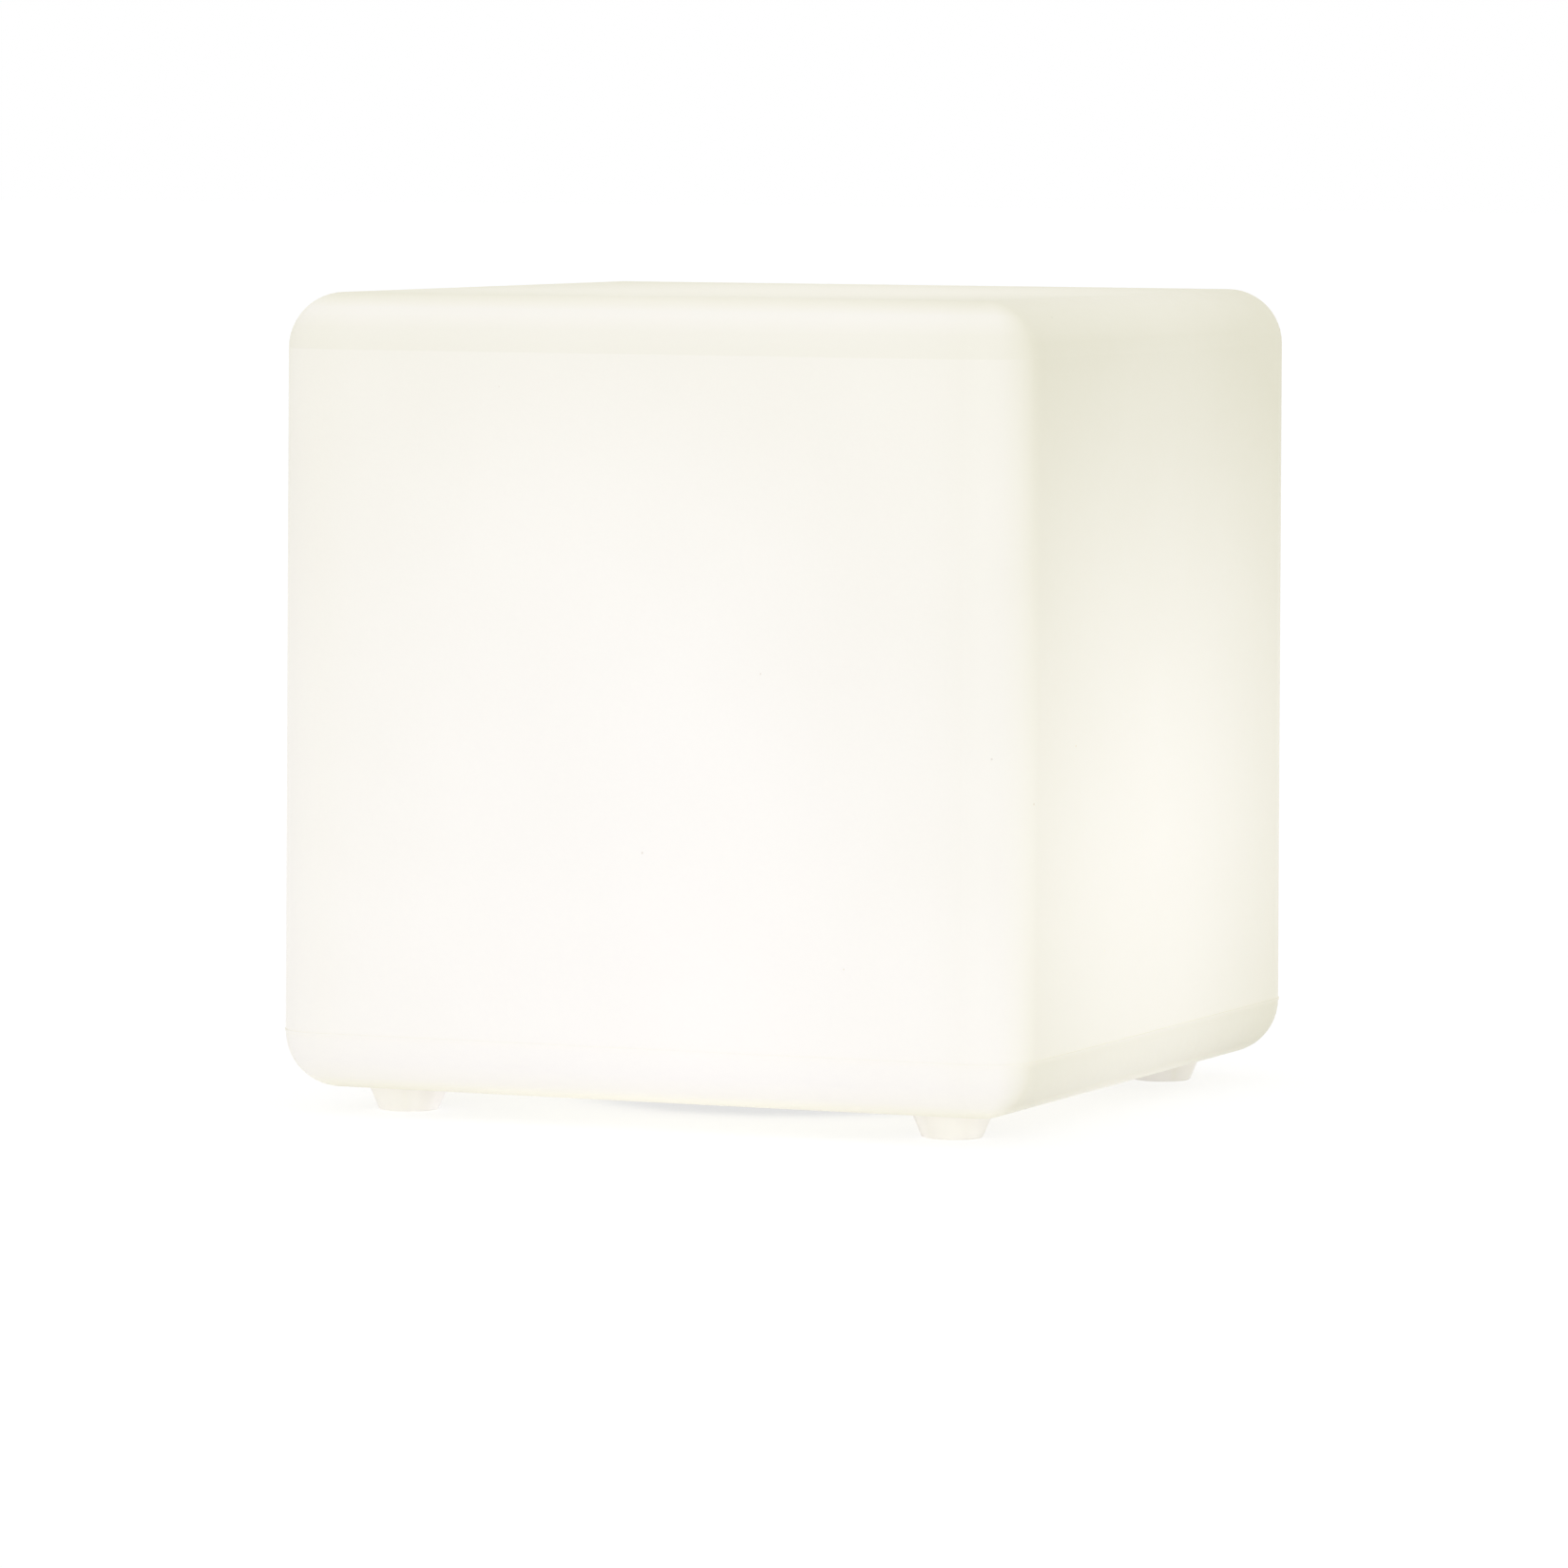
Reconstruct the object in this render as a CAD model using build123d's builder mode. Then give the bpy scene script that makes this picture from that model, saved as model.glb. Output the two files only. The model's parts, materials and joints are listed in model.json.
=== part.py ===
"""LED cube light: a moulded plastic cube on four feet, lit by a sealed module in its underside.

Millimetres. Z = 0 is the plane that the feet stand on, and the Z axis is the middle of the cube.
The module is a base plate with a cup on it. The cup holds the charging socket, the push button,
the control board and two cells, and carries the lamp board under a frosted dome.
"""

import os

from build123d import *

os.makedirs("parts", exist_ok=True)

# ------------------------------------------------------------------ moulded shell
cube_width = 300.0
body_height = 297.5
side_draft = 0.15  # degrees, each side leans in towards the top
edge_radius = 21.0
shell_wall = 3.0
mould_line_depth = 0.3
mould_line_height = 0.8

foot_spacing = 220.0
foot_height = 9.5
foot_top_radius = 15.2
foot_bottom_radius = 11.2
foot_edge_radius = 1.0

recess_radius = 76.0
recess_depth = 8.0
recess_edge_chamfer = 1.2
ledge_width = 19.0  # from the recess's wall in to the opening

# ------------------------------------------------------------------ clearances
fit_clearance = 0.1  # round a shank, pin or barrel in its hole
base_clearance = 0.75  # round the base plate in its recess
button_clearance = 0.15  # round the button in its hole
board_clearance = 1.0  # round the lamp board in the cup
swing_clearance = 0.3  # between the flap's knuckle and its anchor

# ------------------------------------------------------------------ base fixing
insert_edge_distance = 9.0  # from the recess's wall to the middle of an insert
insert_count = 6
insert_radius = 3.0
insert_length = 8.0
insert_boss_radius = 6.0
insert_boss_height = 8.5
insert_hole_spare = 1.0
base_screw_radius = 2.0
base_screw_length = 10.0
base_screw_head_radius = 4.0
base_screw_head_height = 2.6

# ------------------------------------------------------------------ base plate and cup
gasket_thickness = 1.0
gasket_margin = 2.0
base_wall = 2.5
base_inset = 0.5
rim_width = 2.5
rim_edge_chamfer = 0.6
screw_boss_radius = 6.0
screw_floor = 2.0
cup_clearance = 2.0  # between the cup and the opening
cup_wall = 3.5
cup_height = 53.5

# ------------------------------------------------------------------ push button
button_x = -20.0
button_radius = 7.0
button_stand = 2.5
button_edge_radius = 0.8
button_travel = 1.5
button_flange_radius = 9.0
button_flange_thickness = 1.2
button_guard_radius = 10.5
button_guard_wall = 1.5
seal_thickness = 0.8
switch_width = 8.0
switch_height = 5.5
plunger_radius = 1.75
plunger_hold = 2.0
plunger_spare = 0.5

# ------------------------------------------------------------------ charging socket
jack_x = 22.0
jack_flange_radius = 5.5
jack_flange_thickness = 1.5
jack_barrel_radius = 4.0
jack_barrel_length = 13.0
socket_radius = 2.8
socket_depth = 10.0
pin_radius = 1.0
pin_recess = 2.4
lug_spacing = 5.0
lug_width = 1.8
lug_thickness = 0.5
lug_length = 4.5
nut_width = 11.0
nut_thickness = 2.0

# ------------------------------------------------------------------ flap over the socket
flap_radius = 7.0
flap_thickness = 1.5
flap_reach = 10.0
strap_width = 6.0
tab_length = 3.0
tab_width = 5.0
stub_base_radius = 2.4
stub_tip_radius = 2.0
stub_height = 1.6
anchor_length = 8.0
anchor_chamfer = 1.0
anchor_stem_radius = 1.5
anchor_head_radius = 2.6
anchor_head_height = 1.2

# ------------------------------------------------------------------ control board
board_post_height = 10.5
board_post_radius = 3.0
board_thickness = 1.6
board_end_x = 8.0
board_wall_gap = 9.5
board_width = 44.0
board_corner_radius = 2.0
board_hole_inset_x = 5.0
board_hole_inset_y = 4.0
board_screw_radius = 1.25
board_screw_length = 6.0
board_screw_head_radius = 2.25
board_screw_head_height = 1.7
connector_height = 5.0
connector_depth = 5.5
connector_end = 1.0
lead_entry_height = 2.4
chip_width = 4.0
long_chip_length = 10.0
short_chip_length = 5.0
chip_height = 1.5
chip_inset = 12.0
chip_gap = 3.0
transistor_length = 6.5
transistor_width = 3.5
transistor_height = 1.7
transistor_pitch = 5.5
transistor_inset = 22.0
capacitor_radius = 3.2
capacitor_height = 7.0
capacitor_edge_chamfer = 0.6
capacitor_inset_x = 13.0
capacitor_inset_y = 8.0
coil_width = 7.0
coil_height = 4.0
coil_corner_radius = 1.5

# ------------------------------------------------------------------ indicator
lamp_radius = 1.5
lamp_height = 4.5
pipe_gap = 0.3
pipe_head_radius = 2.2
pipe_head_height = 0.8

# ------------------------------------------------------------------ battery
tray_post_height = 21.5
tray_post_radius = 4.0
tray_floor = 2.0
tray_wall = 2.0
tray_end_height = 12.0
tray_rib_height = 6.0
tray_rib_width = 4.0
tray_rib_span = 44.0
cell_radius = 9.2
cell_length = 65.2
cell_gap = 1.0
cell_clearance = 0.2
strip_thickness = 0.3
strip_width = 8.0
lead_channel = 3.6
clamp_width = 14.0
clamp_wall = 1.6
ear_wall_gap = 4.5
clamp_screw_inset = 5.0
clamp_screw_length = 8.0
small_screw_radius = 1.5
small_screw_head_radius = 2.75
small_screw_head_height = 2.4

# ------------------------------------------------------------------ lamp board and dome
led_board_drop = 6.0
led_board_thickness = 1.6
led_screw_inset = 6.0
led_boss_radius = 4.0
led_boss_height = 10.0
led_screw_length = 6.0
led_size = 5.0
led_height = 1.6
inner_ring_radius = 16.0
inner_ring_count = 6
outer_ring_inset = 10.0  # within the dome
outer_ring_count = 12
receiver_width = 6.0
receiver_depth = 4.0
receiver_height = 7.0
cover_screw_inset = 3.5
cover_boss_radius = 3.5
cover_boss_height = 12.0
cover_screw_length = 12.0
cover_gasket_thickness = 1.0
cover_flange_thickness = 2.5
cover_wall = 2.0
dome_screw_gap = 4.0  # from the dome's skirt to the middle of a cover screw
dome_skirt = 4.5
dome_height = 30.5

# ------------------------------------------------------------------ leads
battery_lead_radius = 0.8
battery_lead_y = 12.0
jack_lead_radius = 0.7
jack_lead_pitch = 2.5
led_lead_radius = 0.65
led_lead_pitch = 2.0
led_lead_count = 4
led_lead_x = -18.0
led_lead_wall_gap = 15.5

# ------------------------------------------------------------------ levels above the floor
underside = foot_height
mould_line = underside + edge_radius
recess_floor = underside + recess_depth
pan_top = recess_floor + shell_wall
base_top = recess_floor - gasket_thickness
base_bottom = base_top - base_wall
rim_bottom = underside + base_inset
screw_seat = base_top - screw_floor
cup_top = base_top + cup_height
jack_face = base_bottom - jack_flange_thickness
jack_back = base_bottom + jack_barrel_length
flap_bottom = jack_face - flap_thickness
button_flange_bottom = base_top + seal_thickness
button_flange_top = button_flange_bottom + button_flange_thickness
board_bottom = base_top + board_post_height
board_top = board_bottom + board_thickness
lead_entry = board_top + lead_entry_height
switch_bottom = board_bottom - switch_height
lamp_bottom = board_bottom - lamp_height
tray_bottom = base_top + tray_post_height
tray_top = tray_bottom + tray_floor
cell_axis = tray_top + cell_clearance + cell_radius
led_board_bottom = cup_top - led_board_drop
led_board_top = led_board_bottom + led_board_thickness
cover_bottom = cup_top + cover_gasket_thickness
cover_flange_top = cover_bottom + cover_flange_thickness
dome_top = cover_flange_top + dome_height

# ------------------------------------------------------------------ places shared by several pieces
base_radius = recess_radius - base_clearance
insert_circle = recess_radius - insert_edge_distance
opening_radius = recess_radius - ledge_width
cup_radius = opening_radius - cup_clearance
cup_inner_radius = cup_radius - cup_wall
boss_web_end = cup_inner_radius + cup_wall / 2
led_screw_circle = cup_inner_radius - led_screw_inset
cover_screw_circle = cup_inner_radius - cover_screw_inset
dome_radius = cover_screw_circle - dome_screw_gap
outer_ring_radius = dome_radius - outer_ring_inset
led_lead_y = cup_inner_radius - led_lead_wall_gap
hinge_x = jack_x + flap_reach
anchor_x = hinge_x + flap_thickness / 2 + swing_clearance
anchor_stem_x = anchor_x + anchor_length / 2
board_start_x = board_wall_gap - cup_inner_radius
board_length = board_end_x - board_start_x
board_x = (board_start_x + board_end_x) / 2
board_hole_y = board_width / 2 - board_hole_inset_y
cell_y = cell_radius + cell_gap / 2
strip_outside = cell_length / 2 + strip_thickness
battery_lead_x = strip_outside + fit_clearance + battery_lead_radius
tray_inner_x = strip_outside + lead_channel
tray_outer_x = tray_inner_x + tray_wall
tray_half_width = cell_y + cell_radius + tray_wall
clamp_inner_y = cell_y + cell_radius + cell_clearance
ear_end_y = cup_inner_radius - ear_wall_gap
clamp_screw_y = ear_end_y - clamp_screw_inset
minus_connector_x = board_x + connector_depth / 2

base_screw_places = PolarLocations(insert_circle, insert_count)
led_screw_places = PolarLocations(led_screw_circle, 4, start_angle=45)
cover_screw_places = PolarLocations(cover_screw_circle, 4)
inner_ring_places = PolarLocations(inner_ring_radius, inner_ring_count)
outer_ring_places = PolarLocations(outer_ring_radius, outer_ring_count, start_angle=15)
foot_places = GridLocations(foot_spacing, foot_spacing, 2, 2)
clamp_screw_places = GridLocations(0, 2 * clamp_screw_y, 1, 2)
board_screw_places = Locations(
    (board_start_x + board_hole_inset_x, -board_hole_y),
    (board_start_x + board_hole_inset_x, board_hole_y),
    (board_end_x - board_hole_inset_x, -board_hole_y),
    (board_end_x - board_hole_inset_x, board_hole_y),
)


def circles_at(part, level):
    """The round edges of a part that lie flat at one level, the smallest first."""
    flat_circles = part.edges().filter_by(GeomType.CIRCLE).filter_by_position(Axis.Z, level, level)
    return flat_circles.sort_by(SortBy.RADIUS)


def screws(places, seat, direction, shank_radius, length, head_radius, head_height):
    """Pan-head screws: heads on the plane z = seat, shanks along direction (+1 up, -1 down)."""
    with BuildPart() as group:
        with BuildSketch(Plane.XY.offset(seat)):
            with places:
                Circle(shank_radius)
        extrude(amount=direction * length)
        with BuildSketch(Plane.XY.offset(seat)):
            with places:
                Circle(head_radius)
        extrude(amount=-direction * head_height)
        chamfer(circles_at(group, seat - direction * head_height), length=0.4 * head_height)
    return group.part


def lead_group(routes, radius):
    """Insulated wires, each a straight-and-arc path through its own points."""
    with BuildPart() as group:
        for points in routes:
            corner_radii = []
            for before, corner, after in zip(points, points[1:], points[2:]):
                arriving = Vector(*corner) - Vector(*before)
                leaving = Vector(*after) - Vector(*corner)
                turn = arriving.get_angle(leaving)
                shorter = min(arriving.length, leaving.length)
                corner_radii.append(0.45 * shorter / tan_degrees(turn / 2))
            with BuildLine():
                route = FilletPolyline(*points, radius=corner_radii)
            with BuildSketch(Plane(origin=route @ 0, z_dir=route % 0)):
                Circle(radius)
            sweep(path=route)
            print("lead bends", [round(r, 1) for r in corner_radii], "mm, length", round(route.length, 1))
    return group.part


def tan_degrees(angle):
    """Tangent of an angle given in degrees."""
    direction = Vector(1, 0).rotate(Axis.Z, angle)
    return direction.Y / direction.X


# ------------------------------------------------------------------ shell
# The hollow inside, a wall's thickness within the outer form.
with BuildPart() as hollow:
    with BuildSketch(Plane.XY.offset(underside + shell_wall)):
        Rectangle(cube_width - 2 * shell_wall, cube_width - 2 * shell_wall)
    extrude(amount=body_height - 2 * shell_wall, taper=side_draft)
    fillet(hollow.edges(), radius=edge_radius - shell_wall)

with BuildPart() as shell:
    with BuildSketch(Plane.XY.offset(underside)):
        Rectangle(cube_width, cube_width)
    extrude(amount=body_height, taper=side_draft)
    fillet(shell.edges(), radius=edge_radius)
    # Fine ridge left where the two halves of the mould meet.
    ridge_width = cube_width - 2 * edge_radius * tan_degrees(side_draft) + 2 * mould_line_depth
    with BuildSketch(Plane.XY.offset(mould_line)):
        RectangleRounded(ridge_width, ridge_width, edge_radius + mould_line_depth)
    extrude(amount=mould_line_height)
    # Four tapered feet, so small that the plastic fills them.
    with foot_places:
        Cone(
            bottom_radius=foot_bottom_radius,
            top_radius=foot_top_radius,
            height=foot_height,
            align=(Align.CENTER, Align.CENTER, Align.MIN),
        )
    fillet(circles_at(shell, 0), radius=foot_edge_radius)
    add(hollow.part, mode=Mode.SUBTRACT)
    # The underside steps inwards round the opening, so that the base sits flush.
    with BuildSketch(Plane.XY.offset(underside)):
        Circle(recess_radius + shell_wall)
    extrude(amount=recess_depth + shell_wall)
    chamfer(circles_at(shell, pan_top)[-1], length=shell_wall / 2)
    with BuildSketch(Plane.XY.offset(pan_top)):
        with base_screw_places:
            Circle(insert_boss_radius)
    extrude(amount=insert_boss_height)
    with BuildSketch(Plane.XY.offset(underside)):
        Circle(recess_radius)
    extrude(amount=recess_depth, mode=Mode.SUBTRACT)
    with BuildSketch(Plane.XY.offset(recess_floor)):
        Circle(opening_radius)
        with base_screw_places:
            Circle(insert_radius + fit_clearance)
    extrude(amount=insert_length + insert_hole_spare, mode=Mode.SUBTRACT)
    chamfer(circles_at(shell, underside)[-1], length=recess_edge_chamfer)
shell.part.label = "shell"
export_step(shell.part, "parts/shell.step")

# Brass inserts, flush with the recess floor.
with BuildPart() as shell_inserts:
    with BuildSketch(Plane.XY.offset(recess_floor)):
        with base_screw_places:
            Circle(insert_radius)
            Circle(base_screw_radius + fit_clearance, mode=Mode.SUBTRACT)
    extrude(amount=insert_length)
shell_inserts.part.label = "shell_inserts"
export_step(shell_inserts.part, "parts/shell_inserts.step")

# ------------------------------------------------------------------ base case
with BuildPart() as base_case:
    # Dished plate with a cup on it, turned about the middle.
    with BuildSketch(Plane.XZ):
        with BuildLine():
            Polyline(
                (0, base_bottom),
                (base_radius - rim_width, base_bottom),
                (base_radius - rim_width, rim_bottom),
                (base_radius, rim_bottom),
                (base_radius, base_top),
                (cup_radius, base_top),
                (cup_radius, cup_top),
                (cup_inner_radius, cup_top),
                (cup_inner_radius, base_top),
                (0, base_top),
                close=True,
            )
        make_face()
    revolve(axis=Axis.Z)
    chamfer(circles_at(base_case, rim_bottom), length=rim_edge_chamfer)
    # Bosses under the plate for the base screws.
    with BuildSketch(Plane.XY.offset(rim_bottom)):
        with base_screw_places:
            Circle(screw_boss_radius)
    extrude(amount=base_bottom - rim_bottom)
    with BuildSketch(Plane.XY.offset(rim_bottom)):
        with base_screw_places:
            Circle(base_screw_head_radius + 2 * fit_clearance)
    extrude(amount=screw_seat - rim_bottom, mode=Mode.SUBTRACT)
    with BuildSketch(Plane.XY.offset(screw_seat)):
        with base_screw_places:
            Circle(base_screw_radius + fit_clearance)
    extrude(amount=screw_floor, mode=Mode.SUBTRACT)
    # Raised guard round the push button.
    with BuildSketch(Plane.XY.offset(base_bottom)):
        with Locations((button_x, 0)):
            Circle(button_guard_radius)
            Circle(button_guard_radius - button_guard_wall, mode=Mode.SUBTRACT)
    extrude(amount=-button_stand)
    # Posts for the control board and for the battery tray.
    with BuildSketch(Plane.XY.offset(base_top)):
        with board_screw_places:
            Circle(board_post_radius)
    extrude(amount=board_post_height)
    with BuildSketch(Plane.XY.offset(base_top)):
        with clamp_screw_places:
            Circle(tray_post_radius)
    extrude(amount=tray_post_height)
    # Bosses down the cup's wall, for the lamp board and for the dome.
    with BuildSketch(Plane.XY.offset(led_board_bottom)):
        with led_screw_places:
            Circle(led_boss_radius)
            with Locations(((boss_web_end - led_screw_circle) / 2, 0)):
                Rectangle(boss_web_end - led_screw_circle, 2 * led_boss_radius)
    extrude(amount=-led_boss_height)
    with BuildSketch(Plane.XY.offset(cup_top)):
        with cover_screw_places:
            Circle(cover_boss_radius)
            with Locations(((boss_web_end - cover_screw_circle) / 2, 0)):
                Rectangle(boss_web_end - cover_screw_circle, 2 * cover_boss_radius)
    extrude(amount=-cover_boss_height)
    # Screw holes, each as deep as its screw reaches.
    with BuildSketch(Plane.XY.offset(board_bottom)):
        with board_screw_places:
            Circle(board_screw_radius + fit_clearance)
    extrude(amount=board_thickness - board_screw_length, mode=Mode.SUBTRACT)
    with BuildSketch(Plane.XY.offset(tray_bottom)):
        with clamp_screw_places:
            Circle(small_screw_radius + fit_clearance)
    extrude(amount=tray_floor + clamp_wall - clamp_screw_length, mode=Mode.SUBTRACT)
    with BuildSketch(Plane.XY.offset(led_board_bottom)):
        with led_screw_places:
            Circle(small_screw_radius + fit_clearance)
    extrude(amount=led_board_thickness - led_screw_length, mode=Mode.SUBTRACT)
    with BuildSketch(Plane.XY.offset(cup_top)):
        with cover_screw_places:
            Circle(small_screw_radius + fit_clearance)
    extrude(amount=cover_flange_thickness + cover_gasket_thickness - cover_screw_length, mode=Mode.SUBTRACT)
    # Holes through the plate for the button, the light pipe, the socket and the flap's stem.
    with BuildSketch(Plane.XY.offset(base_bottom)):
        with Locations((button_x, 0)):
            Circle(button_radius + button_clearance)
        Circle(lamp_radius + fit_clearance)
        with Locations((jack_x, 0)):
            Circle(jack_barrel_radius + fit_clearance)
        with Locations((anchor_stem_x, 0)):
            Circle(anchor_stem_radius + fit_clearance)
    extrude(amount=base_wall, mode=Mode.SUBTRACT)
base_case.part.label = "base_case"
export_step(base_case.part, "parts/base_case.step")

with BuildPart() as base_gasket:
    with BuildSketch(Plane.XY.offset(base_top)):
        Circle(recess_radius - gasket_margin)
        Circle(opening_radius + gasket_margin, mode=Mode.SUBTRACT)
        with base_screw_places:
            Circle(base_screw_radius + 2 * fit_clearance, mode=Mode.SUBTRACT)
    extrude(amount=gasket_thickness)
base_gasket.part.label = "base_gasket"
export_step(base_gasket.part, "parts/base_gasket.step")

base_screws = screws(
    base_screw_places,
    screw_seat,
    1,
    base_screw_radius,
    base_screw_length,
    base_screw_head_radius,
    base_screw_head_height,
)
base_screws.label = "base_screws"
export_step(base_screws, "parts/base_screws.step")

# ------------------------------------------------------------------ push button and its switch
with BuildPart() as button_cap:
    with BuildSketch(Plane.XY.offset(base_bottom - button_stand)):
        with Locations((button_x, 0)):
            Circle(button_radius)
    extrude(amount=button_flange_top - base_bottom + button_stand)
    fillet(circles_at(button_cap, base_bottom - button_stand), radius=button_edge_radius)
    with BuildSketch(Plane.XY.offset(button_flange_bottom)):
        with Locations((button_x, 0)):
            Circle(button_flange_radius)
    extrude(amount=button_flange_thickness)
button_cap.part.label = "button_cap"
export_step(button_cap.part, "parts/button_cap.step")

# Flat washer that the button's flange rests on.
with BuildPart() as button_seal:
    with BuildSketch(Plane.XY.offset(base_top)):
        with Locations((button_x, 0)):
            Circle(button_flange_radius)
            Circle(button_radius + 2 * button_clearance, mode=Mode.SUBTRACT)
    extrude(amount=seal_thickness)
button_seal.part.label = "button_seal"
export_step(button_seal.part, "parts/button_seal.step")

with BuildPart() as push_switch:
    with BuildSketch(Plane.XY.offset(switch_bottom)):
        with Locations((button_x, 0)):
            Rectangle(switch_width, switch_width)
    extrude(amount=switch_height)
    with BuildSketch(Plane.XY.offset(switch_bottom)):
        with Locations((button_x, 0)):
            Circle(plunger_radius + fit_clearance)
    extrude(amount=plunger_hold + button_travel + plunger_spare, mode=Mode.SUBTRACT)
push_switch.part.label = "push_switch"
export_step(push_switch.part, "parts/push_switch.step")

with BuildPart() as switch_plunger:
    with BuildSketch(Plane.XY.offset(button_flange_top)):
        with Locations((button_x, 0)):
            Circle(plunger_radius)
    extrude(amount=switch_bottom + plunger_hold - button_flange_top)
switch_plunger.part.label = "switch_plunger"
export_step(switch_plunger.part, "parts/switch_plunger.step")

# ------------------------------------------------------------------ charging socket
with BuildPart() as dc_jack:
    with BuildSketch(Plane.XY.offset(jack_face)):
        with Locations((jack_x, 0)):
            Circle(jack_flange_radius)
    extrude(amount=jack_flange_thickness)
    with BuildSketch(Plane.XY.offset(base_bottom)):
        with Locations((jack_x, 0)):
            Circle(jack_barrel_radius)
    extrude(amount=jack_barrel_length)
    with BuildSketch(Plane.XY.offset(jack_face)):
        with Locations((jack_x, 0)):
            Circle(socket_radius)
    extrude(amount=socket_depth, mode=Mode.SUBTRACT)
    with BuildSketch(Plane.XY.offset(jack_face + socket_depth)):
        with Locations((jack_x, 0)):
            Circle(pin_radius + fit_clearance)
    extrude(amount=jack_back - jack_face - socket_depth, mode=Mode.SUBTRACT)
dc_jack.part.label = "dc_jack"
export_step(dc_jack.part, "parts/dc_jack.step")

with BuildPart() as jack_pin:
    with BuildSketch(Plane.XY.offset(jack_face + pin_recess)):
        with Locations((jack_x, 0)):
            Circle(pin_radius)
    extrude(amount=jack_back - jack_face - pin_recess)
    fillet(circles_at(jack_pin, jack_face + pin_recess), radius=0.4 * pin_radius)
jack_pin.part.label = "jack_pin"
export_step(jack_pin.part, "parts/jack_pin.step")

with BuildPart() as jack_lugs:
    with BuildSketch(Plane.XY.offset(jack_back)):
        with Locations((jack_x, 0)):
            with GridLocations(0, lug_spacing, 1, 2):
                Rectangle(lug_thickness, lug_width)
    extrude(amount=lug_length)
jack_lugs.part.label = "jack_lugs"
export_step(jack_lugs.part, "parts/jack_lugs.step")

with BuildPart() as jack_nut:
    with BuildSketch(Plane.XY.offset(base_top)):
        with Locations((jack_x, 0)):
            RegularPolygon(radius=nut_width / 2, side_count=6, major_radius=False)
            Circle(jack_barrel_radius + fit_clearance, mode=Mode.SUBTRACT)
    extrude(amount=nut_thickness)
jack_nut.part.label = "jack_nut"
export_step(jack_nut.part, "parts/jack_nut.step")

# ------------------------------------------------------------------ flap over the socket
with BuildPart() as port_flap:
    with BuildSketch(Plane.XY.offset(flap_bottom)):
        with Locations((jack_x, 0)):
            Circle(flap_radius)
        with Locations((jack_x + flap_reach / 2, 0)):
            Rectangle(flap_reach, strap_width)
        with Locations((jack_x - flap_radius, 0)):
            SlotOverall(2 * tab_length + tab_width, tab_width)
    extrude(amount=flap_thickness)
    # Short tapered stub that closes the socket.
    with Locations((jack_x, 0, jack_face)):
        Cone(
            bottom_radius=stub_base_radius,
            top_radius=stub_tip_radius,
            height=stub_height,
            align=(Align.CENTER, Align.CENTER, Align.MIN),
        )
    # Round knuckle at the strap's fold.
    with BuildSketch(Plane.XZ.offset(-strap_width / 2)):
        with Locations((hinge_x, flap_bottom + flap_thickness / 2)):
            Circle(flap_thickness / 2)
    extrude(amount=strap_width)
port_flap.part.label = "port_flap"
export_step(port_flap.part, "parts/port_flap.step")

# The strap's fixed end, with a mushroom stem pulled through the plate.
with BuildPart() as flap_anchor:
    with BuildSketch(Plane.XY.offset(flap_bottom)):
        with Locations((anchor_stem_x, 0)):
            Rectangle(anchor_length, strap_width)
    extrude(amount=base_bottom - flap_bottom)
    front_edge = flap_anchor.edges().filter_by(Axis.Y).group_by(Axis.Z)[0].sort_by(Axis.X)[0]
    chamfer(front_edge, length=anchor_chamfer)
    with BuildSketch(Plane.XY.offset(base_bottom)):
        with Locations((anchor_stem_x, 0)):
            Circle(anchor_stem_radius)
    extrude(amount=base_wall)
    with Locations((anchor_stem_x, 0, base_top)):
        Cone(
            bottom_radius=anchor_head_radius,
            top_radius=anchor_stem_radius,
            height=anchor_head_height,
            align=(Align.CENTER, Align.CENTER, Align.MIN),
        )
flap_anchor.part.label = "flap_anchor"
export_step(flap_anchor.part, "parts/flap_anchor.step")

# ------------------------------------------------------------------ control board
with BuildPart() as control_board:
    with BuildSketch(Plane.XY.offset(board_bottom)):
        with Locations((board_x, 0)):
            RectangleRounded(board_length, board_width, board_corner_radius)
        with board_screw_places:
            Circle(board_screw_radius + fit_clearance, mode=Mode.SUBTRACT)
    extrude(amount=board_thickness)
control_board.part.label = "control_board"
export_step(control_board.part, "parts/control_board.step")

board_screws = screws(
    board_screw_places,
    board_top,
    -1,
    board_screw_radius,
    board_screw_length,
    board_screw_head_radius,
    board_screw_head_height,
)
board_screws.label = "board_screws"
export_step(board_screws, "parts/board_screws.step")

# Two integrated circuits, each a flat package.
with BuildPart() as control_chips:
    with BuildSketch(Plane.XY.offset(board_top)):
        with Locations((board_start_x + chip_inset, (long_chip_length + chip_gap) / 2)):
            Rectangle(chip_width, long_chip_length)
        with Locations((board_start_x + chip_inset, -(short_chip_length + chip_gap) / 2)):
            Rectangle(chip_width, short_chip_length)
    extrude(amount=chip_height)
control_chips.part.label = "control_chips"
export_step(control_chips.part, "parts/control_chips.step")

# One power transistor for each colour.
with BuildPart() as driver_transistors:
    with BuildSketch(Plane.XY.offset(board_top)):
        with Locations((board_start_x + transistor_inset, 0)):
            with GridLocations(0, transistor_pitch, 1, 3):
                Rectangle(transistor_length, transistor_width)
    extrude(amount=transistor_height)
driver_transistors.part.label = "driver_transistors"
export_step(driver_transistors.part, "parts/driver_transistors.step")

with BuildPart() as board_capacitors:
    with BuildSketch(Plane.XY.offset(board_top)):
        with Locations((board_end_x - capacitor_inset_x, 0)):
            with GridLocations(0, board_width - 2 * capacitor_inset_y, 1, 2):
                Circle(capacitor_radius)
    extrude(amount=capacitor_height)
    chamfer(circles_at(board_capacitors, board_top + capacitor_height), length=capacitor_edge_chamfer)
board_capacitors.part.label = "board_capacitors"
export_step(board_capacitors.part, "parts/board_capacitors.step")

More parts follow.
